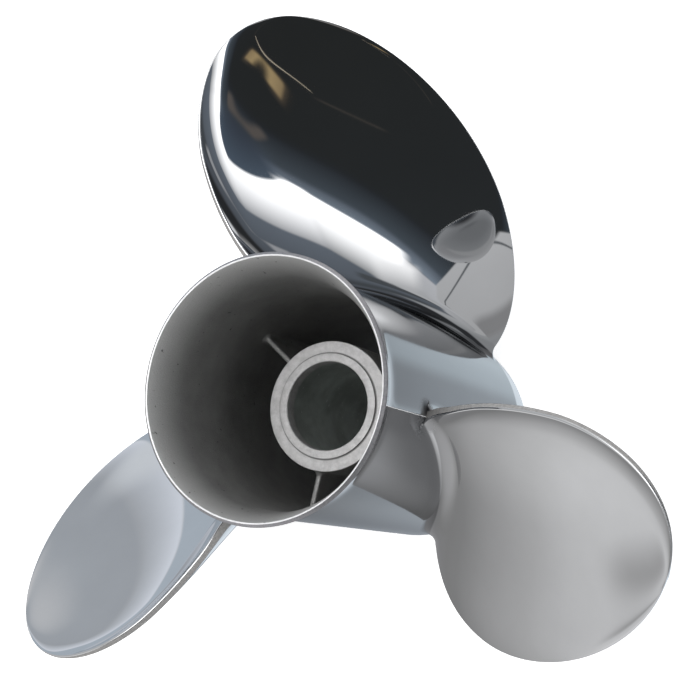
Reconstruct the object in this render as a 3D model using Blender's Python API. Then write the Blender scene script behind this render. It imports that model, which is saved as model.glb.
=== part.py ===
"""Three-blade through-hub-exhaust boat propeller, cast in stainless steel.

The part stands on the front rim of its barrel. +Z runs along the shaft axis
towards the exhaust outlet (aft), and the origin is the point of the shaft axis
in the plane of the front rim. The first blade's root is centred on +Y.
"""
import math

import bmesh
import bpy
import numpy as np

MM = 0.001

# Gap under a blade's foot: 0.3 mm is left where its flat faces dip below their corners
FOOT_GAP = 0.5 * MM

# Barrel, front rim at z = 0
BARREL_LENGTH = 192.8 * MM
BARREL_RADIUS = 55.4 * MM
BARREL_BORE_RADIUS = 52.0 * MM
OUTLET_RADIUS = 60.6 * MM
OUTLET_BORE_RADIUS = 58.4 * MM
OUTLET_EDGE_CHAMFER = 1.3 * MM
OUTER_FLARE_LENGTH = 18.0 * MM
INNER_FLARE_LENGTH = 28.0 * MM
FRONT_RADIUS = 51.8 * MM
FRONT_BORE_RADIUS = 48.4 * MM
FRONT_TAPER_LENGTH = 21.4 * MM
FLARE_STEPS = 6

# Inner hub, the sleeve that the shaft's cushion is pressed into
HUB_RADIUS = 30.9 * MM
HUB_FRONT_Z = 24.8 * MM
HUB_AFT_Z = 127.6 * MM
HUB_BOSS_HEIGHT = 1.1 * MM
HUB_BOSS_RADIUS = 25.0 * MM
HUB_LIP_RADIUS = 21.0 * MM
HUB_LIP_LENGTH = 7.0 * MM
HUB_BORE_RADIUS = 24.6 * MM
HUB_EDGE_CHAMFER = 0.8 * MM

# Ribs between the hub and the barrel, midway between the blade roots
RIB_COUNT = 3
RIB_FIRST_ANGLE = math.radians(30.0)
RIB_FRONT_Z = 34.8 * MM
RIB_AFT_Z = 120.8 * MM
RIB_FRONT_THICKNESS = 4.6 * MM
RIB_AFT_THICKNESS = 2.6 * MM
RIB_FOOT_GAP = 0.25 * MM

# Blades: right-hand screw, so the surface climbs aft with the angle
BLADE_COUNT = 3
BLADE_FIRST_ANGLE = math.radians(90.0)
BLADE_PITCH = 594.0 * MM
BLADE_TIP_RADIUS = 184.0 * MM
BLADE_ROOT_Z = 83.6 * MM
BLADE_ROOT_HALF_WIDTH = 33.3 * MM
BLADE_HALF_WIDTH = 60.0 * MM
BLADE_WIDEST_RADIUS = 123.0 * MM
BLADE_TIP_FULLNESS = 1.88
BLADE_SKEW = math.radians(17.8)
RAKE_AT_ROOT = math.radians(14.0)
RAKE_AT_TIP = math.radians(20.5)
BLADE_CAMBER = 0.010
BLADE_CAMBER_AFT = 0.020
BLADE_CAMBER_END = 0.018
CUP_HEIGHT = 1.5 * MM
CUP_WIDTH = 12.0 * MM
CUP_START_RADIUS = 60.4 * MM
ROOT_THICKNESS = 11.0 * MM
TIP_THICKNESS = 2.6 * MM
LEADING_EDGE_THICKNESS = 1.2 * MM
TRAILING_EDGE_THICKNESS = 3.0 * MM
ROOT_FILLET = 8.0 * MM
FILLET_HEIGHTS = (0.0, 0.1, 0.3, 0.6, 1.0)

# Mesh fineness
BARREL_SEGMENTS = 72
HUB_SEGMENTS = 60
CHORD_POINTS = 15
SPAN_STEPS = 13
ROOT_CAP_COLUMNS = 6

POLISHED_STEEL = ("polished_stainless", (0.62, 0.63, 0.65), 0.08)
CAST_STEEL = ("cast_stainless", (0.42, 0.42, 0.41), 0.5)
MACHINED_STEEL = ("machined_stainless", (0.60, 0.59, 0.57), 0.35)


def clear_scene():
    """Remove every object of the start-up scene."""
    for thing in list(bpy.data.objects):
        bpy.data.objects.remove(thing, do_unlink=True)


def steel(finish):
    """Material of one finish: name, colour and roughness."""
    name, colour, roughness = finish
    material = bpy.data.materials.new(name)
    material.use_nodes = True
    shader = material.node_tree.nodes["Principled BSDF"]
    shader.inputs["Base Color"].default_value = (*colour, 1.0)
    shader.inputs["Metallic"].default_value = 1.0
    shader.inputs["Roughness"].default_value = roughness
    return material


def add_object(name, bm, material):
    """Turn a bmesh into a named object with smooth faces and sharp edges."""
    bmesh.ops.recalc_face_normals(bm, faces=bm.faces)
    mesh = bpy.data.meshes.new(name)
    bm.to_mesh(mesh)
    bm.free()
    mesh.shade_smooth()
    mesh.set_sharp_from_angle(angle=math.radians(35.0))
    mesh.materials.append(material)
    thing = bpy.data.objects.new(name, mesh)
    bpy.context.scene.collection.objects.link(thing)
    return thing


def turned(name, profile, segments, material):
    """Spin a closed profile of (radius, z) points about the shaft axis."""
    bm = bmesh.new()
    ring = [bm.verts.new((radius, 0.0, z)) for radius, z in profile]
    edges = [bm.edges.new((ring[i - 1], ring[i])) for i in range(len(ring))]
    bmesh.ops.spin(bm, geom=ring + edges, cent=(0, 0, 0), axis=(0, 0, 1),
                   angle=math.tau, steps=segments, use_merge=True)
    return add_object(name, bm, material)


def flare(start_radius, end_radius, length, end_z):
    """Quarter-parabola flare: the wall leaves the cylinder gently and opens out."""
    points = []
    for step in range(FLARE_STEPS + 1):
        share = step / FLARE_STEPS
        radius = start_radius + (end_radius - start_radius) * share ** 2
        points.append((radius, end_z - length * (1.0 - share)))
    return points


def exhaust_barrel(material):
    """Outer tube with a flared outlet and a taper towards its front rim."""
    outer = flare(BARREL_RADIUS, OUTLET_RADIUS, OUTER_FLARE_LENGTH,
                  BARREL_LENGTH - OUTLET_EDGE_CHAMFER)
    inner = flare(BARREL_BORE_RADIUS, OUTLET_BORE_RADIUS, INNER_FLARE_LENGTH, BARREL_LENGTH)
    profile = [(BARREL_BORE_RADIUS, FRONT_TAPER_LENGTH), (FRONT_BORE_RADIUS, 0.0),
               (FRONT_RADIUS, 0.0), (BARREL_RADIUS, FRONT_TAPER_LENGTH)]
    profile += outer
    profile.append((OUTLET_RADIUS - OUTLET_EDGE_CHAMFER, BARREL_LENGTH))
    profile += inner[::-1]
    return turned("exhaust_barrel", profile, BARREL_SEGMENTS, material)


def inner_hub(material):
    """Sleeve with a raised boss ring and a retaining lip at its aft end."""
    boss_z = HUB_AFT_Z + HUB_BOSS_HEIGHT
    profile = [(HUB_BORE_RADIUS, HUB_FRONT_Z),
               (HUB_RADIUS - HUB_EDGE_CHAMFER, HUB_FRONT_Z),
               (HUB_RADIUS, HUB_FRONT_Z + HUB_EDGE_CHAMFER),
               (HUB_RADIUS, HUB_AFT_Z - HUB_EDGE_CHAMFER),
               (HUB_RADIUS - HUB_EDGE_CHAMFER, HUB_AFT_Z),
               (HUB_BOSS_RADIUS, HUB_AFT_Z),
               (HUB_BOSS_RADIUS, boss_z),
               (HUB_LIP_RADIUS + HUB_EDGE_CHAMFER, boss_z),
               (HUB_LIP_RADIUS, boss_z - HUB_EDGE_CHAMFER),
               (HUB_LIP_RADIUS, boss_z - HUB_LIP_LENGTH),
               (HUB_BORE_RADIUS, boss_z - HUB_LIP_LENGTH)]
    return turned("inner_hub", profile, HUB_SEGMENTS, material)


def rib(name, angle, material):
    """Flat web from the hub to the barrel, thinner at its aft edge."""
    inner_end = HUB_RADIUS + RIB_FOOT_GAP
    outer_end = BARREL_BORE_RADIUS - RIB_FOOT_GAP - 0.1 * MM
    bm = bmesh.new()
    rings = []
    for z, thickness in ((RIB_FRONT_Z, RIB_FRONT_THICKNESS), (RIB_AFT_Z, RIB_AFT_THICKNESS)):
        half = thickness / 2.0
        corners = ((inner_end, -half), (outer_end, -half), (outer_end, half), (inner_end, half))
        rings.append([bm.verts.new((x, y, z)) for x, y in corners])
    bm.faces.new(rings[0][::-1])
    bm.faces.new(rings[1])
    for i in range(4):
        bm.faces.new((rings[0][i - 1], rings[0][i], rings[1][i], rings[1][i - 1]))
    web = add_object(name, bm, material)
    web.rotation_euler = (0.0, 0.0, angle)
    return web


def eased(share):
    """Smooth step from 0 to 1."""
    share = min(max(share, 0.0), 1.0)
    return share * share * (3.0 - 2.0 * share)


def half_width(radius):
    """Half the blade's width along its arc: parabola to the widest radius, then a round tip."""
    root_radius = BARREL_RADIUS
    if radius <= BLADE_WIDEST_RADIUS:
        share = (BLADE_WIDEST_RADIUS - radius) / (BLADE_WIDEST_RADIUS - root_radius)
        return BLADE_HALF_WIDTH - (BLADE_HALF_WIDTH - BLADE_ROOT_HALF_WIDTH) * share ** 2
    share = (radius - BLADE_WIDEST_RADIUS) / (BLADE_TIP_RADIUS - BLADE_WIDEST_RADIUS)
    return BLADE_HALF_WIDTH * math.sqrt(max(0.0, 1.0 - share ** BLADE_TIP_FULLNESS))


def blade_section(radius, columns=2):
    """Closed ring of points of the blade's section at one radius.

    The section is drawn on the unrolled cylinder. Its chord line climbs with
    the pitch. Its pressure side faces aft, nearly flat by the leading edge and
    hollow towards the trailing edge, which curls aft. Near the root the whole
    section grows by the fillet's quarter circle. With columns above 2 the result
    is a grid from the pressure side to the suction side.
    """
    height = radius - BARREL_RADIUS - FOOT_GAP
    span = BLADE_TIP_RADIUS - BARREL_RADIUS
    share = max(0.0, (radius - BARREL_RADIUS) / span)
    skew = BLADE_SKEW * share
    climb = math.tan(RAKE_AT_ROOT) * share * span
    climb += (math.tan(RAKE_AT_TIP) - math.tan(RAKE_AT_ROOT)) * share ** 2 * span / 2.0
    pitch_per_radian = BLADE_PITCH / math.tau
    pitch_angle = math.atan2(pitch_per_radian, radius)
    along = np.array((math.cos(pitch_angle), math.sin(pitch_angle)))
    forward = np.array((math.sin(pitch_angle), -math.cos(pitch_angle)))

    fillet = 0.0
    if height < ROOT_FILLET:
        fillet = ROOT_FILLET - math.sqrt(ROOT_FILLET ** 2 - (ROOT_FILLET - height) ** 2)
    half_chord = half_width(radius) / along[0]
    chord_share = 0.5 - 0.5 * np.cos(np.linspace(0.0, math.pi, CHORD_POINTS))
    station = 2.0 * chord_share - 1.0
    hollow = 1.0 - station ** 2
    bow = BLADE_CAMBER + BLADE_CAMBER_AFT * station + BLADE_CAMBER_END * station ** 3
    camber = bow * 2.0 * half_chord * hollow
    peak = TIP_THICKNESS + (ROOT_THICKNESS - TIP_THICKNESS) * (1.0 - share) ** 1.2
    edges = LEADING_EDGE_THICKNESS * (1.0 - chord_share) + TRAILING_EDGE_THICKNESS * chord_share
    middle = (LEADING_EDGE_THICKNESS + TRAILING_EDGE_THICKNESS) / 2.0
    thickness = edges + max(0.0, peak - middle) * hollow
    swell = fillet * np.sqrt(np.maximum(0.0, 1.0 - np.abs(station) ** 6))

    lengthwise = station * (half_chord + fillet)
    into_cup = np.clip(1.0 - (half_chord - lengthwise) / CUP_WIDTH, 0.0, None)
    grown = eased((radius - CUP_START_RADIUS) / (2.0 * CUP_WIDTH))
    left = eased((BLADE_TIP_RADIUS - radius) / (2.0 * CUP_WIDTH))
    cup = CUP_HEIGHT * grown * left * into_cup ** 2
    pressure = camber - swell - cup
    suction = camber + thickness + swell - cup
    grid = []
    for column in range(columns):
        part = column / (columns - 1)
        depth = pressure * (1.0 - part) + suction * part
        flat = lengthwise[:, None] * along + depth[:, None] * forward
        angle = skew + flat[:, 0] / radius
        z = BLADE_ROOT_Z + climb + pitch_per_radian * skew + flat[:, 1]
        grid.append(np.column_stack((radius * np.cos(angle), radius * np.sin(angle), z)))
    return grid


def blade(name, angle, material):
    """Loft the blade's sections from the root to the tip."""
    foot = BARREL_RADIUS + FOOT_GAP
    radii = [foot + height * ROOT_FILLET for height in FILLET_HEIGHTS]
    start = radii[-1]
    for step in range(1, SPAN_STEPS + 1):
        share = math.sin(math.pi / 2.0 * step / (SPAN_STEPS + 0.35))
        radii.append(start + (BLADE_TIP_RADIUS - start) * share)

    bm = bmesh.new()
    rings = []
    for radius in radii:
        pressure, suction = blade_section(radius)
        points = list(pressure) + list(suction[::-1])
        rings.append([bm.verts.new(point) for point in points])
    count = 2 * CHORD_POINTS
    for lower, upper in zip(rings, rings[1:]):
        for i in range(count):
            bm.faces.new((lower[i - 1], lower[i], upper[i], upper[i - 1]))
    close_tip(bm, rings[-1])
    close_root(bm, rings[0], foot)
    thing = add_object(name, bm, material)
    thing.rotation_euler = (0.0, 0.0, angle)
    return thing


def close_tip(bm, ring):
    """Close the last section with a strip of faces across its thickness."""
    last = len(ring) - 1
    for i in range(CHORD_POINTS - 1):
        bm.faces.new((ring[i], ring[i + 1], ring[last - i - 1], ring[last - i]))


def close_root(bm, ring, foot):
    """Close the root with a grid of faces that follows the barrel's curve."""
    grid = blade_section(foot, ROOT_CAP_COLUMNS)
    last = len(ring) - 1
    pressure = ring[:CHORD_POINTS]
    suction = [ring[last - i] for i in range(CHORD_POINTS)]
    columns = [pressure[1:-1]]
    for column in grid[1:-1]:
        columns.append([bm.verts.new(point) for point in column[1:-1]])
    columns.append(suction[1:-1])
    for left, right in zip(columns, columns[1:]):
        for i in range(len(left) - 1):
            bm.faces.new((left[i], left[i + 1], right[i + 1], right[i]))
        bm.faces.new((pressure[0], left[0], right[0]))
        bm.faces.new((pressure[-1], right[-1], left[-1]))
    bm.faces.new((pressure[0], suction[1], suction[0]))
    bm.faces.new((pressure[-1], suction[-1], suction[-2]))


def main():
    clear_scene()
    polished = steel(POLISHED_STEEL)
    cast = steel(CAST_STEEL)
    machined = steel(MACHINED_STEEL)
    exhaust_barrel(polished)
    inner_hub(machined)
    for index in range(RIB_COUNT):
        rib(f"rib_{index + 1}", RIB_FIRST_ANGLE + index * math.tau / RIB_COUNT, cast)
    for index in range(BLADE_COUNT):
        blade(f"blade_{index + 1}", BLADE_FIRST_ANGLE - index * math.tau / BLADE_COUNT, polished)


main()
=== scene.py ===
"""Looks of a polished stainless through-hub-exhaust boat propeller.

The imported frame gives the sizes. Every visible surface is worked out here with numpy as a
function of two parameters: the barrel and hub as turned profiles, the ribs and blades as
sections carried along the radius. The part stands on its front rim, with +Z aft.
"""
import math
from collections import namedtuple

import bmesh
import bpy
import numpy as np
from mathutils import Matrix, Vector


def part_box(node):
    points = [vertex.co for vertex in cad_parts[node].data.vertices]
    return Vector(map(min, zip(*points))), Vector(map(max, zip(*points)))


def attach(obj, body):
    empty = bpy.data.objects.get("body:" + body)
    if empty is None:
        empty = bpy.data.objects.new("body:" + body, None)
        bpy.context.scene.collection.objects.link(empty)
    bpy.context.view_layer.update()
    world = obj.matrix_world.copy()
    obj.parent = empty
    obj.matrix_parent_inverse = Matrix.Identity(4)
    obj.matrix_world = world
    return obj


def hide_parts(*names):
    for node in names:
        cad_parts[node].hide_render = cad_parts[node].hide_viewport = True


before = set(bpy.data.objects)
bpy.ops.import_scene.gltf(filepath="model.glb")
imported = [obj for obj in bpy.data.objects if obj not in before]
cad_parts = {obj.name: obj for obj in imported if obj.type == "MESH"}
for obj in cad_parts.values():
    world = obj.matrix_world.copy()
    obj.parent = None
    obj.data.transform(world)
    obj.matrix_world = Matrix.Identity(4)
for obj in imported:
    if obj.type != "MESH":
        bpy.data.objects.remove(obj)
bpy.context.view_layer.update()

bl_info = {
    "name": "Boat Propeller Dresser",
    "version": (1, 0, 0),
    "blender": (4, 5, 0),
    "location": "3D View > Sidebar > Propeller",
    "description": "Builds the polished skin, cast bore, ribs and studio of a boat propeller",
    "category": "Object",
}

MM = 0.001
CORNER_ROUGHNESS = 0.4


def node_points(name):
    """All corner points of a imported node, in metres."""
    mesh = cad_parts[name].data
    flat = np.empty(3 * len(mesh.vertices))
    mesh.vertices.foreach_get("co", flat)
    return flat.reshape(-1, 3)


def reach(name):
    """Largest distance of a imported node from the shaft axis."""
    points = node_points(name)
    return float(np.hypot(points[:, 0], points[:, 1]).max())


BARREL_NODE = "exhaust_barrel"
HUB_NODE = "inner_hub"
RIB_NODES = tuple(f"rib_{i + 1}" for i in range(3))
BLADE_NODES = tuple(f"blade_{i + 1}" for i in range(3))
BARREL_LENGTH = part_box(BARREL_NODE)[1].z
OUTLET_RADIUS = reach(BARREL_NODE)
TIP_RADIUS = reach(BLADE_NODES[0])
HUB_RADIUS = reach(HUB_NODE)
HUB_FRONT_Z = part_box(HUB_NODE)[0].z
HUB_BOSS_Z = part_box(HUB_NODE)[1].z
RIB_FRONT_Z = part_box(RIB_NODES[0])[0].z
RIB_AFT_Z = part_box(RIB_NODES[0])[1].z
BLADE_FIRST_ANGLE = math.radians(90.0)
RIB_FIRST_ANGLE = math.radians(30.0)


def length_property(label, words, millimetres):
    """A length shown in the panel, with its default given in millimetres."""
    return bpy.props.FloatProperty(name=label, description=words, default=millimetres * MM,
                                   unit="LENGTH", precision=5)


def angle_property(label, words, degrees):
    """An angle shown in the panel, with its default given in degrees."""
    return bpy.props.FloatProperty(name=label, description=words,
                                   default=math.radians(degrees), unit="ROTATION")


def colour_property(label, words, colour):
    """A linear colour shown in the panel."""
    return bpy.props.FloatVectorProperty(name=label, description=words, default=colour,
                                         size=3, min=0.0, max=1.0, subtype="COLOR")


class BarrelSizes(bpy.types.PropertyGroup):
    """Sizes of the exhaust barrel."""
    wall_radius: length_property("Wall radius", "Outer radius of the plain barrel", 55.4)
    bore_radius: length_property("Bore radius", "Inner radius of the plain barrel", 52.0)
    mouth_radius: length_property("Mouth radius", "Inner radius at the outlet rim", 58.4)
    outer_flare: length_property("Outer flare", "Length of the flare outside", 18.0)
    inner_flare: length_property("Inner flare", "Length of the flare inside", 28.0)
    rim_drop: length_property("Rim drop", "Fall of the rim's face from its inner edge", 1.3)
    # Width of the rim's flat inner edge, which carries a painted highlight.
    rim_edge: length_property("Rim edge", "Bright broken edge inside the rim", 0.65)
    rim_round: length_property("Rim round", "Rounding of the rim's outer edge", 0.8)
    front_radius: length_property("Front radius", "Outer radius at the front rim", 51.8)
    front_bore: length_property("Front bore", "Inner radius at the front rim", 48.4)
    taper_length: length_property("Taper length", "Length of the taper to the front rim", 21.4)
    ridge_height: length_property("Ridge height", "Low ridge behind each trailing edge", 1.9)
    ridge_width: length_property("Ridge width", "Half the ridge's width at its foot", 7.0)


class HubSizes(bpy.types.PropertyGroup):
    """Sizes of the inner hub."""
    boss_radius: length_property("Boss radius", "Outer radius of the raised boss ring", 25.0)
    boss_height: length_property("Boss height", "Height of the boss ring", 1.1)
    lip_radius: length_property("Lip radius", "Radius of the retaining lip's hole", 21.0)
    lip_length: length_property("Lip length", "Axial length of the retaining lip", 7.0)
    bore_radius: length_property("Bore radius", "Radius of the bore behind the lip", 24.6)
    chamfer: length_property("Chamfer", "Broken edges of the hub", 0.8)
    lip_chamfer: length_property("Lip chamfer", "Broken edge of the lip's hole", 0.35)


class RibSizes(bpy.types.PropertyGroup):
    """Sizes of the ribs between hub and barrel."""
    front_thickness: length_property("Front thickness", "Web thickness at the front", 4.6)
    aft_thickness: length_property("Aft thickness", "Web thickness at the aft edge", 2.6)
    foot_fillet: length_property("Foot fillet", "Fillet where a web meets a wall", 3.5)


class BladeSizes(bpy.types.PropertyGroup):
    """Sizes of the three right-hand blades."""
    pitch: length_property("Pitch", "Advance of the blade surface in one turn", 594.0)
    root_z: length_property("Root place", "Height of the root's middle above the front", 83.6)
    root_half_width: length_property("Root half width", "Half the root's arc", 33.3)
    half_width: length_property("Half width", "Half the blade's arc at its widest", 60.0)
    bare_end: length_property("Bare end", "Length where the trailing end's fillet shrinks", 1.2)
    widest_radius: length_property("Widest radius", "Radius where it is widest", 123.0)
    tip_fullness: bpy.props.FloatProperty(name="Tip fullness", default=1.88,
                                          description="Exponent of the round tip's outline")
    skew: angle_property("Skew", "Sweep of the middle line from root to tip", 17.8)
    rake_root: angle_property("Rake at root", "Backward lean at the root", 14.0)
    rake_tip: angle_property("Rake at tip", "Backward lean at the tip", 20.5)
    camber: bpy.props.FloatProperty(name="Camber", default=0.010,
                                    description="Even hollow of the pressure side over the chord")
    camber_aft: bpy.props.FloatProperty(name="Camber aft", default=0.020,
                                        description="Hollow moved towards the trailing edge")
    camber_end: bpy.props.FloatProperty(name="Camber end", default=0.018,
                                        description="Hollow moved close to the trailing edge")
    cup_height: length_property("Cup height", "Curl of the trailing edge towards aft", 1.5)
    cup_width: length_property("Cup width", "Width of that curl over the chord", 12.0)
    tail_gain: length_property("Tail gain", "Extra trailing edge thickness at the root", 2.2)
    tail_reach: length_property("Tail reach", "Height above the root where that gain ends", 33.0)
    tail_width: length_property("Tail width", "Width of that gain over the chord", 45.0)
    root_thickness: length_property("Root thickness", "Thickest point at the root", 11.0)
    tip_thickness: length_property("Tip thickness", "Thickest point near the tip", 2.6)
    leading_edge: length_property("Leading edge", "Thickness of the round leading edge", 1.2)
    trailing_edge: length_property("Trailing edge", "Thickness of the square trailing edge", 3.6)
    edge_round: length_property("Edge round", "Rounding of the trailing edge's back corner", 0.45)
    edge_break: length_property("Edge break", "Rounding of its pressure side corner", 1.1)
    root_fillet: length_property("Root fillet", "Fillet along the middle of the root", 10.0)
    end_fillet: length_property("End fillet", "Fillet round the root's two ends", 5.5)


class FinishColours(bpy.types.PropertyGroup):
    """Colours of the finishes and of the studio floor."""
    polished: colour_property("Polished steel", "Mirror-polished blades", (0.62, 0.625, 0.635))
    # Darker than the polished colour as painted shade for the shaded floor the barrel mirrors; the
    # barrel is also rougher.
    half_polished_shaded: colour_property("Buffed steel", "Barrel's outside", (0.285, 0.29, 0.298))
    rim: colour_property("Rim steel", "Satin outlet rim", (0.33, 0.325, 0.34))
    ground: colour_property("Ground steel", "Blades' square trailing edges", (0.495, 0.485, 0.475))
    # Near-white colour of a painted highlight on the rim's inner edge and on the ridge crests.
    edge: colour_property("Rim edge", "Bright broken edge of the rim", (0.97, 0.97, 0.98))
    cast: colour_property("Cast steel", "Sand-cast inside", (0.33, 0.33, 0.325))
    machined: colour_property("Machined steel", "Hub's turned aft face", (0.53, 0.525, 0.525))
    bore: colour_property("Bore steel", "Hub's rough bore", (0.60, 0.64, 0.62))
    floor: colour_property("Floor", "Studio floor", (0.88, 0.88, 0.88))


def settings(name):
    """One of the property groups that register puts on the scene."""
    return getattr(bpy.context.scene, "propeller_" + name)


def surface_object(name, grid, wrap_rows=False, wrap_columns=True, materials=()):
    """Object of quads on a grid of points, rows by columns, each a point in metres.

    Neighbours in the grid share a face. A wrapped direction joins its last line to its first.
    """
    rows, columns = grid.shape[:2]
    index = np.arange(rows * columns).reshape(rows, columns)
    if wrap_rows:
        index = np.vstack((index, index[:1]))
    if wrap_columns:
        index = np.hstack((index, index[:, :1]))
    quads = np.stack((index[:-1, :-1], index[:-1, 1:], index[1:, 1:], index[1:, :-1]), axis=-1)
    return mesh_object(name, grid.reshape(-1, 3), quads.reshape(-1, 4), materials)


def mesh_object(name, points, quads, materials):
    """Object from an array of points and an array of quads, smooth, at the origin."""
    mesh = bpy.data.meshes.new(name)
    mesh.vertices.add(len(points))
    mesh.vertices.foreach_set("co", points.astype(np.float32).ravel())
    mesh.loops.add(4 * len(quads))
    mesh.loops.foreach_set("vertex_index", quads.astype(np.int32).ravel())
    mesh.polygons.add(len(quads))
    mesh.polygons.foreach_set("loop_start", np.arange(0, 4 * len(quads), 4, dtype=np.int32))
    mesh.polygons.foreach_set("use_smooth", np.ones(len(quads), dtype=bool))
    mesh.update(calc_edges=True)
    for material in materials:
        mesh.materials.append(material)
    thing = bpy.data.objects.new(name, mesh)
    bpy.context.scene.collection.objects.link(thing)
    return thing


def revolve(profile, turn):
    """Grid of a turned surface: row i is profile point i (radius, z) carried round the axis."""
    radius, z = profile[:, :1], profile[:, 1:]
    return np.stack((radius * np.cos(turn), radius * np.sin(turn),
                     np.broadcast_to(z, (len(profile), len(turn)))), axis=-1)


def rounded(corners, steps=6):
    """Closed outline through corners (x, y, rounding) with a circular arc at each.

    The arc starts and ends where a circle of that radius touches the two sides, and its points
    are blended between the sides' directions by equal angles.
    """
    out = []
    count = len(corners)
    for i, (x, y, radius) in enumerate(corners):
        here = np.array((x, y))
        before = np.array(corners[i - 1][:2]) - here
        after = np.array(corners[(i + 1) % count][:2]) - here
        before /= np.linalg.norm(before)
        after /= np.linalg.norm(after)
        bend = math.acos(np.clip(np.dot(before, after), -1.0, 1.0))
        if radius <= 0.0 or bend > math.radians(175.0):
            out.append(here)
            continue
        middle = before + after
        centre = here + middle / np.linalg.norm(middle) * radius / math.sin(bend / 2.0)
        start = here + before * radius / math.tan(bend / 2.0) - centre
        end = here + after * radius / math.tan(bend / 2.0) - centre
        sweep = math.pi - bend
        share = np.linspace(0.0, 1.0, steps)[:, None]
        arc = (np.sin((1.0 - share) * sweep) * start + np.sin(share * sweep) * end) / math.sin(sweep)
        out.extend(centre + arc)
    return np.array(out)


def refined(outline, spacing):
    """The closed outline with extra points so that no side is longer than the spacing."""
    out = []
    for a, b in zip(outline, np.roll(outline, -1, axis=0)):
        pieces = max(1, int(math.ceil(np.linalg.norm(b - a) / spacing)))
        out.extend(a + (b - a) * k / pieces for k in range(pieces))
    return np.array(out)


class NodeTree:
    """Node tree of a material or of the world, with short ways to add its nodes."""

    def __init__(self, owner):
        owner.use_nodes = True
        self.owner = owner
        self.nodes = owner.node_tree.nodes

    def feed(self, socket, value):
        """Link another node's output to an input, or set the input to a number or a colour."""
        if isinstance(value, bpy.types.NodeSocket):
            self.owner.node_tree.links.new(value, socket)
        elif socket.type == "RGBA":
            socket.default_value = (*value, 1.0)
        else:
            socket.default_value = value

    def node(self, kind, output, inputs, **options):
        """Output of a new node with these inputs and options."""
        node = self.nodes.new("ShaderNode" + kind)
        for name, value in options.items():
            setattr(node, name, value)
        for key, value in inputs.items():
            self.feed(node.inputs[key], value)
        return node.outputs[output]

    def axes(self, vector):
        """The three coordinates of a vector."""
        node = self.nodes.new("ShaderNodeSeparateXYZ")
        self.feed(node.inputs["Vector"], vector)
        return tuple(node.outputs)

    def math(self, operation, *values):
        """Math node over up to three values, each a socket or a number."""
        return self.node("Math", "Value", dict(enumerate(values)), operation=operation)

    def span(self, value, low, high, to_low=0.0, to_high=1.0, blend="LINEAR"):
        """Value carried from one range to another, held at its ends."""
        ends = {"From Min": low, "From Max": high, "To Min": to_low, "To Max": to_high}
        return self.node("MapRange", "Result", {"Value": value, **ends}, interpolation_type=blend)

    def mix(self, share, first, second, blend="MIX"):
        """Blend of two colours, each fixed or another node's, by a share."""
        return self.node("Mix", "Result", {"Factor": share, "A": first, "B": second},
                         data_type="RGBA", blend_type=blend)

    def ramp(self, value, low, high, stops):
        """Colour of a value that runs from low to high, blended between the stops."""
        node = self.nodes.new("ShaderNodeValToRGB")
        elements = node.color_ramp.elements
        elements.remove(elements[-1])
        for place, _ in stops[1:]:
            elements.new((place - low) / (high - low))
        for element, (_, colour) in zip(elements, stops):
            element.color = (*colour, 1.0)
        self.feed(node.inputs["Fac"], self.span(value, low, high))
        return node.outputs["Color"]


class Finish(NodeTree):
    """A new material whose patterns read the piece's own coordinates, in metres."""

    def __init__(self, name):
        super().__init__(bpy.data.materials.new(name))
        self.place = self.node("TexCoord", "Object", {})

    def noise(self, scale, detail, roughness):
        """Noise with a scale per metre."""
        inputs = {"Vector": self.place, "Scale": scale, "Detail": detail, "Roughness": roughness}
        return self.node("TexNoise", "Fac", inputs)

    def bump(self, height, distance, strength):
        """Bumps of a height pattern; distance is their size in metres."""
        inputs = {"Height": height, "Distance": distance, "Strength": strength}
        return self.node("Bump", "Normal", inputs)

    def axis_distance(self):
        """Distance from the shaft axis."""
        flat = self.node("VectorMath", "Vector", {0: self.place, 1: (1.0, 1.0, 0.0)},
                         operation="MULTIPLY")
        return self.node("VectorMath", "Value", {0: flat}, operation="LENGTH")

    def made(self, colour, metallic, roughness, normal=None):
        """The material, with these on its shader's inputs."""
        inputs = {"Base Color": colour, "Metallic": metallic, "Roughness": roughness}
        if normal:
            inputs["Normal"] = normal
        for name, value in inputs.items():
            self.feed(self.nodes["Principled BSDF"].inputs[name], value)
        return self.owner


def tinted(colour, factor):
    """The colour scaled by a factor."""
    return tuple(min(1.0, channel * factor) for channel in colour)


def trailing_corner():
    """Angle and height of the first blade's trailing edge at its root."""
    blade = settings("blade")
    angle = blade.root_half_width / settings("barrel").wall_radius
    return BLADE_FIRST_ANGLE + angle, blade.root_z + blade.pitch / math.tau * angle


def corner_offsets(finish):
    """Arc along the barrel and height from the nearest trailing edge's root."""
    angle, height = trailing_corner()
    x, y, z = finish.axes(finish.place)
    turn = finish.math("SUBTRACT", finish.math("ARCTAN2", y, x), angle)
    turn = finish.math("WRAP", turn, math.pi / 3.0, -math.pi / 3.0)
    arc = finish.math("MULTIPLY", turn, settings("barrel").wall_radius)
    return arc, finish.math("SUBTRACT", z, height - 0.5 * MM)


def painted_corner_shade(finish):
    """Share of the painted shade in the corner above each trailing edge's root."""
    arc, along = corner_offsets(finish)
    start = finish.span(arc, 0.2 * MM, 1.2 * MM)
    end = finish.span(arc, 4.5 * MM, 9.0 * MM, 1.0, 0.0)
    near = finish.span(finish.math("ABSOLUTE", along), 2.0 * MM, 5.0 * MM, 1.0, 0.0)
    return finish.math("MULTIPLY", finish.math("MULTIPLY", start, end), near)


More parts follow.
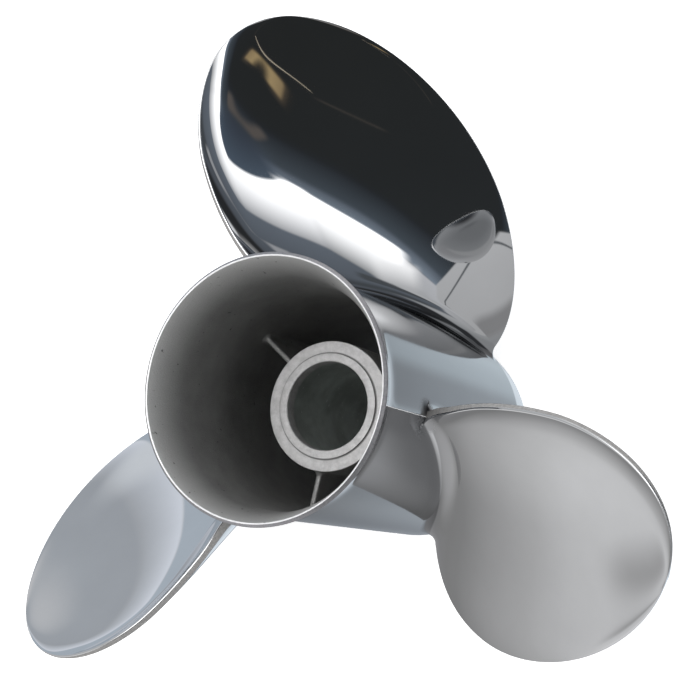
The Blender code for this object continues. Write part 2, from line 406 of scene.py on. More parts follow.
def unpolished_corner(finish):
    """Share of the small round patch about each trailing edge's root that stays unpolished."""
    arc, along = corner_offsets(finish)
    square = finish.math("MULTIPLY_ADD", arc, arc, finish.math("MULTIPLY", along, along))
    near = finish.span(finish.math("SQRT", square), 5.0 * MM, 10.0 * MM, 1.0, 0.0)
    wall = settings("barrel").wall_radius
    low = finish.span(finish.axis_distance(), wall + 3.0 * MM, wall + 8.0 * MM, 1.0, 0.0)
    return finish.math("MULTIPLY", near, low)


def polished_steel(name):
    """Mirror-polished stainless steel of the blades."""
    return mirror_steel(name, settings("finish").polished, (0.012, 0.04), 0.05, foot=True)


def half_polished_shaded_steel(name):
    """The barrel's outside: the same steel, rougher and short of a full mirror, its colour darkened as
    painted shade for the shaded floor it mirrors.
    """
    return mirror_steel(name, settings("finish").half_polished_shaded, (0.07, 0.12), 0.2)


def mirror_steel(name, colour, roughness, waviness, foot=False):
    """Polished steel whose tone and roughness drift with a smear pattern, on gentle waves.

    With foot, the first millimetres above the barrel take its darker colour as painted shade;
    without, the corner above each trailing edge gets painted shade.
    """
    finish = Finish(name)
    smear = finish.noise(22.0, 4.0, 0.6)
    skin = finish.mix(finish.span(smear, 0.3, 0.7), tinted(colour, 0.97), tinted(colour, 1.03))
    if foot:
        wall = settings("barrel").wall_radius
        low = finish.span(finish.axis_distance(), wall + 1.4 * MM, wall + 1.8 * MM, 1.0, 0.0)
        # Painted shade: the foot band along the barrel takes the barrel's darker colour.
        skin = finish.mix(low, skin, settings("finish").half_polished_shaded)
    else:
        # Painted shade: the corner above each trailing edge's root is darkened to three tenths.
        skin = finish.mix(painted_corner_shade(finish), skin, tinted(colour, 0.3))
    polish = finish.span(smear, 0.3, 0.75, *roughness)
    dull = finish.math("MULTIPLY", unpolished_corner(finish), CORNER_ROUGHNESS)
    waves = finish.bump(finish.noise(28.0, 1.0, 0.4), 0.2 * MM, waviness)
    return finish.made(skin, 1.0, finish.math("ADD", polish, dull), waves)


def rim_steel(name):
    """Satin steel of the outlet rim's face."""
    return satin_steel(name, settings("finish").rim, 0.42)


def ground_steel(name):
    """Duller ground steel of the blades' square trailing edges."""
    return satin_steel(name, settings("finish").ground, 0.65)


def satin_steel(name, colour, roughness):
    """Fine-grained satin steel."""
    finish = Finish(name)
    grain = finish.noise(900.0, 3.0, 0.6)
    skin = finish.mix(finish.span(grain, 0.35, 0.65), tinted(colour, 0.88), tinted(colour, 1.12))
    return finish.made(skin, 0.85, roughness, finish.bump(grain, 0.1 * MM, 0.3))


def edge_steel(name):
    """Painted highlight: near-white line on the rim's inner edge, broken by hand, and on the ridge
    crests.
    """
    finish = Finish(name)
    colour = settings("finish").edge
    nicks = finish.span(finish.noise(260.0, 3.0, 0.6), 0.35, 0.6)
    return finish.made(finish.mix(nicks, tinted(colour, 0.85), colour), 0.1, 0.3)


def cast_steel(name):
    """As-cast stainless steel: matte sandy grain, small dark pits, and painted light that makes it
    lighter towards the mouth.
    """
    finish = Finish(name)
    colour = settings("finish").cast
    grain = finish.noise(1400.0, 3.0, 0.7)
    blotch = finish.span(finish.noise(60.0, 3.0, 0.6), 0.3, 0.7)
    skin = finish.mix(blotch, tinted(colour, 0.88), tinted(colour, 1.1))
    height = finish.axes(finish.place)[2]
    # Painted light: the last 20 mm before the mouth grow up to 1.85 times lighter.
    mouth = finish.span(height, BARREL_LENGTH - 20.0 * MM, BARREL_LENGTH - 1.0 * MM)
    skin = finish.mix(mouth, skin, tinted(colour, 1.85))
    pits = finish.span(finish.noise(420.0, 2.0, 0.5), 0.70, 0.76, 0.0, 0.75)
    skin = finish.mix(pits, skin, tinted(colour, 0.3))
    return finish.made(skin, 0.75, finish.span(grain, 0.3, 0.7, 0.5, 0.68),
                       finish.bump(grain, 0.3 * MM, 0.6))


def machined_steel(name):
    """Turned and blasted face of the hub, light and matte, with a painted shade line at the foot of the
    boss.
    """
    finish = Finish(name)
    colour = settings("finish").machined
    tone = finish.span(finish.noise(300.0, 4.0, 0.7), 0.35, 0.65)
    skin = finish.mix(tone, tinted(colour, 0.84), tinted(colour, 1.1))
    # Painted shade: a dark line just outside the boss ring, where its short wall meets the face.
    shade_line_radius = settings("hub").boss_radius + 0.25 * MM
    away = finish.math("ABSOLUTE", finish.math("SUBTRACT", finish.axis_distance(), shade_line_radius))
    skin = finish.mix(finish.span(away, 0.2 * MM, 0.55 * MM, 0.85, 0.0), skin, tinted(colour, 0.3))
    return finish.made(skin, 0.5, 0.58, finish.bump(finish.noise(2200.0, 2.0, 0.6), 0.1 * MM, 0.5))


def bore_steel(name):
    """Greenish grey bore behind the lip, with a few light specks."""
    finish = Finish(name)
    colour = settings("finish").bore
    cloud = finish.span(finish.noise(70.0, 4.0, 0.6), 0.35, 0.65)
    skin = finish.mix(cloud, tinted(colour, 0.7), colour)
    specks = finish.span(finish.noise(520.0, 1.0, 0.5), 0.74, 0.8, 0.0, 0.6)
    return finish.made(finish.mix(specks, skin, (1.0, 1.0, 1.0)), 0.4, 0.5)


def material(name, maker):
    """The named material, made the first time it is asked for."""
    return bpy.data.materials.get(name) or maker(name)


def dress(piece, slot, *nodes):
    """Tie a finished piece to the frame: its body and the nodes it stands for; the slot argument is not
    used.
    """
    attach(piece, "root")
    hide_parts(*nodes)
    return piece


def paint_faces(piece, slots):
    """Give each face its material slot from an array."""
    piece.data.polygons.foreach_set("material_index", slots.astype(np.int32))


def flare_curve(start_radius, end_radius, length, end_z, steps=14):
    """Parabola flare: radius grows with the square of the way along the flare."""
    share = np.linspace(0.0, 1.0, steps)
    return np.column_stack((start_radius + (end_radius - start_radius) * share ** 2,
                            end_z - length * (1.0 - share)))


class PROPELLER_OT_barrel(bpy.types.Operator):
    """Build the exhaust barrel: polished outside, cast bore, flared rim and low ridges"""
    bl_idname = "propeller.barrel"
    bl_label = "Exhaust Barrel"

    segments = 216
    crest_columns = 44
    # Half width of the painted highlight line on each ridge's crest.
    crest = 0.25 * MM
    ridge_rise = 12.0 * MM
    ridge_fall = 14.0 * MM
    ridge_end = 3.0 * MM

    def execute(self, context):
        size = settings("barrel")
        outline, outside = self.outline(size)
        turn = self.turns(size)
        grid = revolve(outline, turn)
        grid = self.with_ridges(grid, outside, size)
        finishes = (material("buffed_stainless_steel", half_polished_shaded_steel),
                    material("satin_rim_steel", rim_steel),
                    material("bright_edge_steel", edge_steel),
                    material("cast_stainless_steel", cast_steel))
        piece = surface_object("flared_exhaust_barrel", grid, wrap_rows=True, materials=finishes)
        middle = (outline + np.roll(outline, -1, axis=0)) / 2.0
        rows = self.finish_rows(middle, outside, size)
        _, corner_z = trailing_corner()
        on_crest = np.abs(self.from_ridge(turn + np.diff(turn, append=turn[0] + math.tau) / 2.0, size))
        # Painted highlight: faces on each ridge's crest above the trailing edge's root get the
        # near-white edge steel.
        bright = (on_crest < self.crest)[None] & (rows == 0)[:, None]
        bright &= (middle[:, 1] > corner_z)[:, None]
        paint_faces(piece, np.where(bright, 2, rows[:, None]).ravel())
        dress(piece, "polished_stainless", BARREL_NODE)
        return {"FINISHED"}

    def from_ridge(self, turn, size):
        """Arc from each angle to the nearest ridge line, positive on the suction side."""
        line, _ = trailing_corner()
        away = (turn - line + math.pi / 3.0) % (math.tau / 3.0) - math.pi / 3.0
        return away * size.wall_radius

    def turns(self, size):
        """Angles of the columns: even steps, with closer ones beside each ridge line."""
        line, _ = trailing_corner()
        reach = size.ridge_width / size.wall_radius
        even = line + np.linspace(reach, math.tau / 3.0 - reach, self.segments // 3)
        close = line + reach * np.linspace(-1.0, 1.0, self.crest_columns)[1:-1]
        third = np.concatenate((close, even))
        return np.concatenate([third + index * math.tau / 3.0 for index in range(3)])

    def outline(self, size):
        """Closed (radius, z) outline, outer wall first, and 1 for each point outside."""
        outer = flare_curve(size.wall_radius, OUTLET_RADIUS, size.outer_flare,
                            BARREL_LENGTH - size.rim_drop)
        inner = flare_curve(size.bore_radius, size.mouth_radius, size.inner_flare,
                            BARREL_LENGTH)[::-1]
        inner = np.vstack((inner, (size.bore_radius, size.taper_length), (size.front_bore, 0.0)))
        front = [(size.front_bore, 0.0, 0.5 * MM), (size.front_radius, 0.0, 0.5 * MM),
                 (size.wall_radius, size.taper_length, 6.0 * MM)]
        corners = front + [(r, z, 0.0) for r, z in outer[:-1]]
        corners += [(*outer[-1], size.rim_round),
                    (size.mouth_radius + size.rim_edge, BARREL_LENGTH, 0.05 * MM),
                    (size.mouth_radius, BARREL_LENGTH - 0.2 * MM, 0.05 * MM)]
        corners += [(r, z, 0.0) for r, z in inner[1:-1]]
        outline = refined(rounded(corners), 3.0 * MM)
        border = np.interp(outline[:, 1], inner[::-1, 1], inner[::-1, 0]) + 0.3 * MM
        return outline, (outline[:, 0] > border).astype(float)

    def finish_rows(self, middle, outside, size):
        """Material slot of each strip: outside wall, satin rim, bright edge with a painted highlight, or
        cast inside.
        """
        rim_start = BARREL_LENGTH - size.rim_drop - size.rim_round
        slots = np.where(outside > 0.0, 0, 3)
        slots[(outside > 0.0) & (middle[:, 1] > rim_start)] = 1
        from_edge = middle - (size.mouth_radius + size.rim_edge, BARREL_LENGTH)
        at_edge = (middle[:, 1] > BARREL_LENGTH - 0.25 * MM) & (from_edge[:, 0] < 0.0)
        slots[at_edge] = 2
        return slots

    def with_ridges(self, grid, outside, size):
        """Raise the outer wall by (1 - arc / width) squared on both sides of each ridge line.

        The height fades in ahead of the trailing edge's root and out before the rim.
        """
        radius = np.hypot(grid[..., 0], grid[..., 1])
        away = np.abs(self.from_ridge(np.arctan2(grid[..., 1], grid[..., 0]), size))
        lift = np.maximum(0.0, 1.0 - away / size.ridge_width) ** 2
        _, edge_z = trailing_corner()
        rise = np.clip((grid[..., 2] - edge_z) / self.ridge_rise + 1.0, 0.0, 1.0)
        end_z = BARREL_LENGTH - self.ridge_end
        fall = np.clip((end_z - grid[..., 2]) / self.ridge_fall, 0.0, 1.0)
        factor = 1.0 + outside[:, None] * lift * rise * fall * size.ridge_height / radius
        grid[..., :2] *= factor[..., None]
        return grid


class PROPELLER_OT_hub(bpy.types.Operator):
    """Build the inner hub with its boss ring, retaining lip and bore"""
    bl_idname = "propeller.hub"
    bl_label = "Inner Hub"

    segments = 192

    def execute(self, context):
        size = settings("hub")
        outline = self.outline(size)
        grid = revolve(outline, np.linspace(0.0, math.tau, self.segments, endpoint=False))
        machined = material("machined_stainless_steel", machined_steel)
        cast = material("cast_stainless_steel", cast_steel)
        bore = material("bore_steel", bore_steel)
        piece = surface_object("machined_inner_hub", grid, wrap_rows=True,
                               materials=(machined, cast, bore))
        next_z = np.roll(outline[:, 1], -1)
        face_z = (outline[:, 1] + next_z) / 2.0
        in_bore = outline[:, 0] < size.bore_radius + 0.1 * MM
        lowest = np.where(in_bore, size.lip_length - 0.2 * MM, size.boss_height + size.chamfer)
        slots = np.where(face_z < HUB_BOSS_Z - lowest, np.where(in_bore, 2, 1), 0)
        paint_faces(piece, np.repeat(slots, self.segments))
        dress(piece, "machined_stainless", HUB_NODE)
        return {"FINISHED"}

    def outline(self, size):
        """Closed (radius, z) outline, counter-clockwise seen with z up and radius to the right."""
        aft = HUB_BOSS_Z - size.boss_height
        lip_front = HUB_BOSS_Z - size.lip_length
        corners = [(size.bore_radius, HUB_FRONT_Z, size.chamfer),
                   (HUB_RADIUS, HUB_FRONT_Z, size.chamfer),
                   (HUB_RADIUS, aft, size.chamfer / 2.0),
                   (size.boss_radius, aft, 0.15 * MM),
                   (size.boss_radius, HUB_BOSS_Z, 0.2 * MM),
                   (size.lip_radius + size.lip_chamfer, HUB_BOSS_Z, 0.05 * MM),
                   (size.lip_radius, HUB_BOSS_Z - size.lip_chamfer, 0.05 * MM),
                   (size.lip_radius, lip_front, 0.4 * MM),
                   (size.bore_radius, lip_front, 0.6 * MM)]
        return refined(rounded(corners, 5), 4.0 * MM)


class PROPELLER_OT_ribs(bpy.types.Operator):
    """Build the three cast webs between the hub and the barrel"""
    bl_idname = "propeller.ribs"
    bl_label = "Ribs"

    rows = 40
    sunk = 0.3 * MM

    def execute(self, context):
        cast = material("cast_stainless_steel", cast_steel)
        for index, node in enumerate(RIB_NODES):
            angle = RIB_FIRST_ANGLE + index * math.tau / 3.0
            grid = self.web(angle, settings("rib"), settings("barrel"))
            piece = surface_object(f"cast_{node}", grid, materials=(cast,))
            close_ends(piece, len(grid), grid.shape[1])
            dress(piece, "cast_stainless", node)
        return {"FINISHED"}

    def web(self, angle, size, barrel):
        """Grid of one web: its outline in (across, z), carried outwards along the radius.

        The half thickness grows towards both walls by a quarter circle of the foot fillet.
        """
        inner = HUB_RADIUS - self.sunk
        outer = barrel.bore_radius + self.sunk
        corners = [(-size.front_thickness / 2.0, RIB_FRONT_Z, 1.2 * MM),
                   (size.front_thickness / 2.0, RIB_FRONT_Z, 1.2 * MM),
                   (size.aft_thickness / 2.0, RIB_AFT_Z, 0.9 * MM),
                   (-size.aft_thickness / 2.0, RIB_AFT_Z, 0.9 * MM)]
        outline = refined(rounded(corners), 6.0 * MM)
        share = 0.5 - 0.5 * np.cos(np.linspace(0.0, math.pi, self.rows))
        radius = inner + (outer - inner) * share
        gap = np.minimum(radius - inner, outer - radius)
        rise = np.maximum(0.0, size.foot_fillet - gap)
        swell = size.foot_fillet - np.sqrt(size.foot_fillet ** 2 - rise ** 2)
        normal = outline_normals(outline)
        flat = outline[None] + normal[None] * swell[:, None, None]
        across = flat[..., 0]
        along = np.sqrt(radius[:, None] ** 2 - across ** 2)
        x = along * math.cos(angle) - across * math.sin(angle)
        y = along * math.sin(angle) + across * math.cos(angle)
        return np.stack((x, y, flat[..., 1]), axis=-1)


def outline_normals(outline):
    """Unit normals of a closed outline that runs counter-clockwise, pointing outwards."""
    step = np.roll(outline, -1, axis=-2) - np.roll(outline, 1, axis=-2)
    normal = np.stack((step[..., 1], -step[..., 0]), axis=-1)
    return normal / np.linalg.norm(normal, axis=-1, keepdims=True)


def close_ends(piece, rows, columns, folded_foot=False):
    """Close the first and last row of a wrapped grid with one face each.

    A folded foot's first row already lies on itself, so its pairs of points are merged instead.
    The edges round that foot are sharp, which keeps the hidden fold out of the fillet's shading.
    """
    mesh = piece.data
    bm = bmesh.new()
    bm.from_mesh(mesh)
    bm.verts.ensure_lookup_table()
    bm.faces.new([bm.verts[(rows - 1) * columns + i] for i in range(columns)])
    foot = [bm.verts[i] for i in range(columns)]
    if folded_foot:
        rim = {bm.verts[columns + i] for i in range(columns)}
        for edge in bm.edges:
            if rim.issuperset(edge.verts):
                edge.smooth = False
        bmesh.ops.remove_doubles(bm, verts=foot, dist=0.001 * MM)
    else:
        bm.faces.new(foot[::-1])
    bmesh.ops.recalc_face_normals(bm, faces=bm.faces)
    bm.to_mesh(mesh)
    bm.free()


class PROPELLER_OT_blades(bpy.types.Operator):
    """Build the three polished right-hand blades with their root fillets"""
    bl_idname = "propeller.blades"
    bl_label = "Blades"

    side_points = 72
    corner_points = 8
    fillet_rows = 22
    span_rows = 120
    tip_reserve = 0.8
    root_tail = 0.83
    full_tail = 0.4
    thin_tail = 0.8
    tip_tail = 0.45

    def execute(self, context):
        polished = material("polished_stainless_steel", polished_steel)
        ground = material("ground_edge_steel", ground_steel)
        for index, node in enumerate(BLADE_NODES):
            angle = BLADE_FIRST_ANGLE - index * math.tau / 3.0
            grid = self.skin(angle, settings("blade"), settings("barrel"))
            piece = surface_object(f"polished_{node}", grid, materials=(polished, ground))
            slots = np.zeros((len(grid) - 1, grid.shape[1]), dtype=int)
            first_face = self.side_points + self.corner_points - 3
            slots[:, first_face:first_face + self.corner_points - 1] = 1
            paint_faces(piece, slots.ravel())
            close_ends(piece, len(grid), grid.shape[1], folded_foot=True)
            dress(piece, "polished_stainless", node)
        return {"FINISHED"}

    def radii(self, size, barrel):
        """Radii of the sections: fine in the fillet, then closing in on the tip as a sine."""
        foot = barrel.wall_radius
        turn = np.linspace(0.0, math.pi / 2.0, self.fillet_rows)
        fillet = foot + size.root_fillet * (1.0 - np.cos(turn))
        share = np.linspace(0.0, 1.0, self.span_rows + 1)[1:]
        share = np.sin(math.pi / 2.0 * share * (1.0 - self.tip_reserve / self.span_rows))
        start = fillet[-1]
        radii = np.concatenate((fillet, start + (TIP_RADIUS - start) * share))
        return radii[:, None]

    def half_width(self, radius, size, barrel):
        """Parabola from the root to the widest radius, then a superellipse to the tip."""
        root = barrel.wall_radius
        inboard = (size.widest_radius - radius) / (size.widest_radius - root)
        low = size.half_width - (size.half_width - size.root_half_width) * inboard ** 2
        outboard = np.clip((radius - size.widest_radius) / (TIP_RADIUS - size.widest_radius), 0.0, 1.0)
        high = size.half_width * np.sqrt(1.0 - outboard ** size.tip_fullness)
        return np.where(radius < size.widest_radius, low, high)

    def skin(self, angle, size, barrel):
        """Grid of one blade: section outlines on unrolled cylinders, row by row outwards.

        Along the chord the surface climbs with the pitch; rake and skew move whole sections.
        """
        radius = self.radii(size, barrel)
        root = barrel.wall_radius
        span = TIP_RADIUS - root
        share = (radius - root) / span
        skew = size.skew * share
        slope_root, slope_tip = math.tan(size.rake_root), math.tan(size.rake_tip)
        climb = span * (slope_root * share + (slope_tip - slope_root) * share ** 2 / 2.0)
        pitch_per_radian = size.pitch / math.tau
        pitch_angle = np.arctan2(pitch_per_radian, radius)
        outline = self.section(radius, share, pitch_angle, size, barrel)
        outline = np.concatenate((self.folded(outline[:1]), outline))
        radius, skew, climb, pitch_angle = (np.concatenate((each[:1], each))
                                            for each in (radius, skew, climb, pitch_angle))
        along, forward = outline[..., 0], outline[..., 1]
        arc = along * np.cos(pitch_angle) + forward * np.sin(pitch_angle)
        rise = along * np.sin(pitch_angle) - forward * np.cos(pitch_angle)
        turn = angle + skew + arc / radius
        z = size.root_z + climb + pitch_per_radian * skew + rise
        return np.stack((radius * np.cos(turn), radius * np.sin(turn), z), axis=-1)

    def folded(self, outline):
        """The outline with each point moved halfway to its partner on the other side."""
        count = outline.shape[1]
        last_suction = 2 * self.side_points + 3 * (self.corner_points - 2) - 1
        partner = (last_suction - np.arange(count)) % count
        return (outline + outline[:, partner]) / 2.0

    def section(self, radius, share, pitch_angle, size, barrel):
        """Closed section outlines (along the chord, forward) for every radius at once.

        Pressure side from leading to trailing edge, square trailing edge with small arcs,
        suction side back, round nose. The root fillet moves every point along its normal and
        shrinks to a fifth over the last of the trailing end.
        """
        half = self.half_width(radius, size, barrel) / np.cos(pitch_angle)
        nose, corner, broken = (value + 0.0 * radius for value in
                                (size.leading_edge / 2.0, size.edge_round, size.edge_break))
        tail = size.trailing_edge * self.tail_share(share)
        station = -np.cos(np.linspace(0.0, math.pi, self.side_points))[None]
        position = (half - broken + half - nose) * (station + 1.0) / 2.0 - (half - nose)
        hollow = 1.0 - station ** 2
        bow = size.camber + size.camber_aft * station + size.camber_end * station ** 3
        camber = 2.0 * half * hollow * bow
        peak = size.tip_thickness + (size.root_thickness - size.tip_thickness) * (1.0 - share) ** 1.2
        chord_share = (station + 1.0) / 2.0
        edges = 2.0 * nose * (1.0 - chord_share) + tail * chord_share
        thickness = edges + np.maximum(0.0, peak - (2.0 * nose + tail) / 2.0) * hollow
        pressure = np.stack((position, camber), axis=-1)
        behind = (half - corner + half - nose) * (station + 1.0) / 2.0 - (half - nose)
        suction = np.stack((behind, camber + thickness), axis=-1)[:, ::-1]
        quarter = np.linspace(0.0, math.pi / 2.0, self.corner_points)[None, 1:-1]
        low = np.stack((half - broken + broken * np.sin(quarter),
                        broken - broken * np.cos(quarter)), axis=-1)
        high = np.stack((half - corner + corner * np.cos(quarter),
                         tail - corner + corner * np.sin(quarter)), axis=-1)
        face = np.linspace(0.0, 1.0, self.corner_points - 2)[None]
        middle = np.stack((half + 0.0 * face, broken + (tail - broken - corner) * face), axis=-1)
        around = np.linspace(0.0, math.pi, 2 * self.corner_points)[None, 1:-1]
        front = np.stack((-(half - nose) - nose * np.sin(around),
                          nose + nose * np.cos(around)), axis=-1)
        outline = np.concatenate((pressure, low, middle, high, suction, front), axis=1)
        outline = self.cupped(outline, half, radius, size, barrel)
        normal = outline_normals(outline)
        reach_end = np.abs(outline[..., 0]) / half
        middle_share = np.clip(1.0 - reach_end ** 4, 0.0, 1.0)
        fillet = size.end_fillet + (size.root_fillet - size.end_fillet) * middle_share
        fillet *= 1.0 - 0.8 * eased((outline[..., 0] - half) / size.bare_end + 1.0)
        height = radius - barrel.wall_radius + 0.0 * fillet
        left = np.clip(fillet - height, 0.0, None)
        swell = fillet - np.sqrt(fillet ** 2 - left ** 2)
        return outline + normal * swell[..., None]

    def tail_share(self, share):
        """Trailing edge's thickness along the span: it grows from the root and thins at the tip."""
        grown = self.root_tail + (1.0 - self.root_tail) * eased(share / self.full_tail)
        thinned = (1.0 - self.tip_tail) * eased((share - self.thin_tail) / (1.0 - self.thin_tail))
        return grown * (1.0 - thinned)

    def cupped(self, outline, half, radius, size, barrel):
        """Curl the trailing edge aft by the square of the way into the cup.

        The cup starts outside the root fillet and dies out towards the tip. Near the root the
        pressure side moves further, which makes the trailing edge thicker there.
        """
        near = np.clip(1.0 - (half - outline[..., 0]) / size.cup_width, 0.0, None)
        height = radius - barrel.wall_radius
        grown = eased((height - size.end_fillet) / size.cup_width)
        left = eased((TIP_RADIUS - radius) / (2.0 * size.cup_width))
        gain = size.tail_gain * eased(1.0 - height / size.tail_reach)
        order = np.arange(outline.shape[1])[None]
        first_back = self.side_points + 2 * (self.corner_points - 2)
        facing = eased((first_back - order) / (self.corner_points - 2.0))
        close = np.clip(1.0 - (half - outline[..., 0]) / size.tail_width, 0.0, None)
        curled = outline.copy()
        curled[..., 1] -= size.cup_height * grown * left * near ** 2 + gain * facing * close ** 2
        return curled


def eased(share):
    """Smooth step from 0 to 1."""
    share = np.clip(share, 0.0, 1.0)
    return share * share * (3.0 - 2.0 * share)


Card = namedtuple("Card", "name middle half_size softness low high slope bend lean",
                  defaults=(None, 0.0, 0.0, 0.0))


class PROPELLER_OT_stage(bpy.types.Operator):
    """Set the floor, the soft studio light and the camera"""
    bl_idname = "propeller.stage"
    bl_label = "Studio"

    camera_place = (348.4 * MM, -11.8 * MM, 787.5 * MM)
    camera_tilt = math.radians(29.83)
    camera_roll = math.radians(13.0)
    focal_length = 81.81
    sensor_width = 36.0
    shift = (0.1172, 0.0973)
    floor_glow = 0.7
    dome = ((-90.0, (1.05, 1.17, 1.26)), (-76.0, (0.96, 1.06, 1.15)), (-70.0, (0.80, 0.88, 0.95)),
            (-66.0, (0.62, 0.68, 0.74)), (-63.5, (0.50, 0.54, 0.58)), (-61.0, (0.31, 0.31, 0.32)),
            (-45.0, (0.26, 0.26, 0.265)), (-36.0, (0.275, 0.275, 0.275)), (-28.0, (0.325, 0.325, 0.325)),
            (-20.0, (0.43, 0.43, 0.43)), (-12.0, (0.53, 0.53, 0.53)), (-4.0, (0.65, 0.65, 0.65)),
            (2.0, (0.80, 0.80, 0.805)), (7.0, (0.88, 0.88, 0.885)), (13.0, (0.82, 0.82, 0.83)),
            (25.0, (0.68, 0.685, 0.70)), (36.0, (0.62, 0.63, 0.64)), (62.0, (0.70, 0.70, 0.70)),
            (72.0, (3.6, 3.6, 3.6)))
    trend = ((-180.0, 0.84), (-160.0, 0.85), (-143.0, 0.92), (-127.0, 1.15), (-115.0, 1.3),
             (-90.0, 1.3), (-60.0, 1.0), (10.0, 1.0), (60.0, 1.2), (90.0, 1.4), (120.0, 1.3),
             (150.0, 1.0), (180.0, 0.86))
    trend_gate = (-38.0, -20.0)
    cards = (
        Card("dark ceiling", (-22.0, 38.0), (66.0, 25.0), (6.0, 3.0), (0.032, 0.036, 0.039),
             (0.026, 0.028, 0.028)),
        Card("ceiling's bright corner", (-30.0, 71.0), (58.0, 8.0), (6.0, 1.5), (0.10, 0.09, 0.08),
             (0.80, 0.80, 0.80), bend=-0.0048),
        Card("haze over the window", (0.0, 35.6), (42.0, 6.5), (6.0, 2.0), (0.10, 0.125, 0.15),
             (0.03, 0.034, 0.04), slope=0.337, bend=-0.0034),
        Card("glow over the window", (3.5, 31.9), (38.0, 2.6), (8.0, 1.0), (0.29, 0.35, 0.42),
             (0.13, 0.155, 0.19), slope=0.337, bend=-0.0042),
        Card("dark below the window", (24.0, 6.0), (40.0, 16.0), (6.0, 2.0), (0.07, 0.075, 0.085),
             (0.18, 0.21, 0.25)),
        Card("dark far floor", (33.0, -22.0), (25.0, 20.0), (7.0, 3.0), (0.035, 0.038, 0.042),
             (0.03, 0.032, 0.034)),
        Card("dark gap", (24.0, 5.5), (15.0, 3.0), (5.0, 2.0), (0.08, 0.09, 0.10)),
        Card("grey floor to the right", (-26.0, -32.0), (44.5, 33.0), (6.0, 3.0), (0.29, 0.295, 0.30),
             (0.31, 0.32, 0.33)),
        Card("lit floor on the left", (-86.0, -19.0), (30.0, 13.0), (14.0, 8.0), (0.42, 0.42, 0.425),
             (0.60, 0.60, 0.605)),
        Card("pale floor to the right", (-20.5, -6.0), (47.5, 8.5), (5.0, 3.0), (0.32, 0.33, 0.34),
             (0.50, 0.51, 0.52)),
        Card("light wall", (-51.5, 8.5), (28.5, 15.8), (0.5, 0.8), (0.50, 0.505, 0.51),
             (0.63, 0.635, 0.645), lean=-1.1),
        Card("grey floor corner", (-52.0, -3.0), (7.5, 6.0), (2.0, 3.0), (0.31, 0.31, 0.315)),
        Card("tail of the window", (-18.0, 14.5), (11.5, 5.5), (0.8, 0.5), (0.56, 0.57, 0.585),
             (0.66, 0.67, 0.70), slope=0.517),
        Card("window", (-1.0, 20.8), (16.0, 8.3), (4.0, 0.6), (0.40, 0.41, 0.42), (2.75, 2.75, 2.75),
             slope=0.39),
        Card("right half of the window", (25.0, 27.5), (12.5, 8.3), (3.0, 0.6), (0.52, 0.53, 0.55),
             (2.75, 2.75, 2.75), bend=-0.0075),
        Card("blind over the window", (27.0, 35.2), (9.0, 3.5), (3.0, 0.5), (0.10, 0.135, 0.18),
             (0.05, 0.06, 0.08), slope=-0.37),
        Card("soft foot of the window", (-13.0, 14.0), (8.5, 4.5), (3.5, 1.5), (0.48, 0.485, 0.50),
             (1.5, 1.5, 1.5)),
        Card("dark line under the window", (-3.5, 10.2), (8.0, 1.0), (2.5, 0.4), (0.09, 0.10, 0.11),
             slope=0.1),
        Card("dim foot of the window", (-13.0, 1.5), (11.0, 6.8), (3.5, 0.9), (0.42, 0.425, 0.435),
             (0.54, 0.55, 0.565), slope=-0.25),
        Card("seam", (-37.6, 16.0), (0.35, 8.5), (0.25, 0.5), (0.16, 0.17, 0.18), lean=-0.7),
        Card("bright strip low on the right", (56.5, -22.0), (5.5, 3.2), (2.0, 1.2), (0.95, 0.96, 0.98),
             slope=-0.8),
        Card("grey strip above it", (37.0, 7.4), (4.0, 1.6), (1.5, 0.8), (0.42, 0.43, 0.45),
             slope=-0.1),
        Card("gold line", (-9.0, 55.3), (3.2, 0.12), (0.3, 0.08), (0.6, 0.52, 0.4), slope=0.44,
             bend=-0.06),
        Card("gold fan", (-2.6, 52.6), (3.0, 1.0), (1.5, 1.0), (0.04, 0.037, 0.033),
             (0.16, 0.125, 0.085), slope=-0.45),
        Card("gold wedge", (-2.9, 53.5), (2.4, 0.8), (0.8, 0.3), (0.32, 0.235, 0.13),
             (0.50, 0.37, 0.19), slope=-0.45),
        Card("brown trail", (-20.5, 50.1), (8.0, 0.2), (2.0, 0.2), (0.06, 0.055, 0.05), slope=0.27),
        Card("brown smudge", (15.3, 43.4), (2.2, 0.7), (1.2, 0.5), (0.13, 0.115, 0.105), slope=-0.45),
        Card("dim room behind", (148.0, 7.3), (28.0, 8.0), (6.0, 4.0), (0.48, 0.51, 0.55),
             (0.51, 0.545, 0.585), slope=-0.62, bend=0.006),
        Card("light behind the table", (148.0, -3.2), (30.0, 5.0), (6.0, 1.2), (0.92, 0.97, 1.06),
             (0.54, 0.57, 0.61), slope=-0.62, bend=0.006),
        Card("light beside the room", (118.0, 14.0), (6.0, 8.0), (4.0, 4.0), (0.82, 0.86, 0.92),
             (0.88, 0.92, 0.96)),
        Card("table edge", (148.0, -20.2), (32.0, 12.2), (6.0, 0.5), (0.49, 0.55, 0.62),
             (0.545, 0.615, 0.69), slope=-0.62, bend=0.006),
        Card("floor under the barrel", (-160.0, -66.0), (43.0, 5.0), (25.0, 3.0), (0.46, 0.50, 0.55),
             (0.22, 0.24, 0.265)),
        Card("floor beside the barrel", (86.0, -67.0), (24.0, 5.0), (10.0, 2.5), (1.03, 1.17, 1.26),
             (0.70, 0.79, 0.86)),
        Card("dim patch", (-151.0, 9.7), (3.5, 2.0), (3.5, 2.0), (0.48, 0.48, 0.48), slope=-0.2),
    )

    def execute(self, context):
        self.floor()
        self.world(context.scene)
        context.scene.view_settings.view_transform = "Standard"
        self.camera(context.scene)
        return {"FINISHED"}

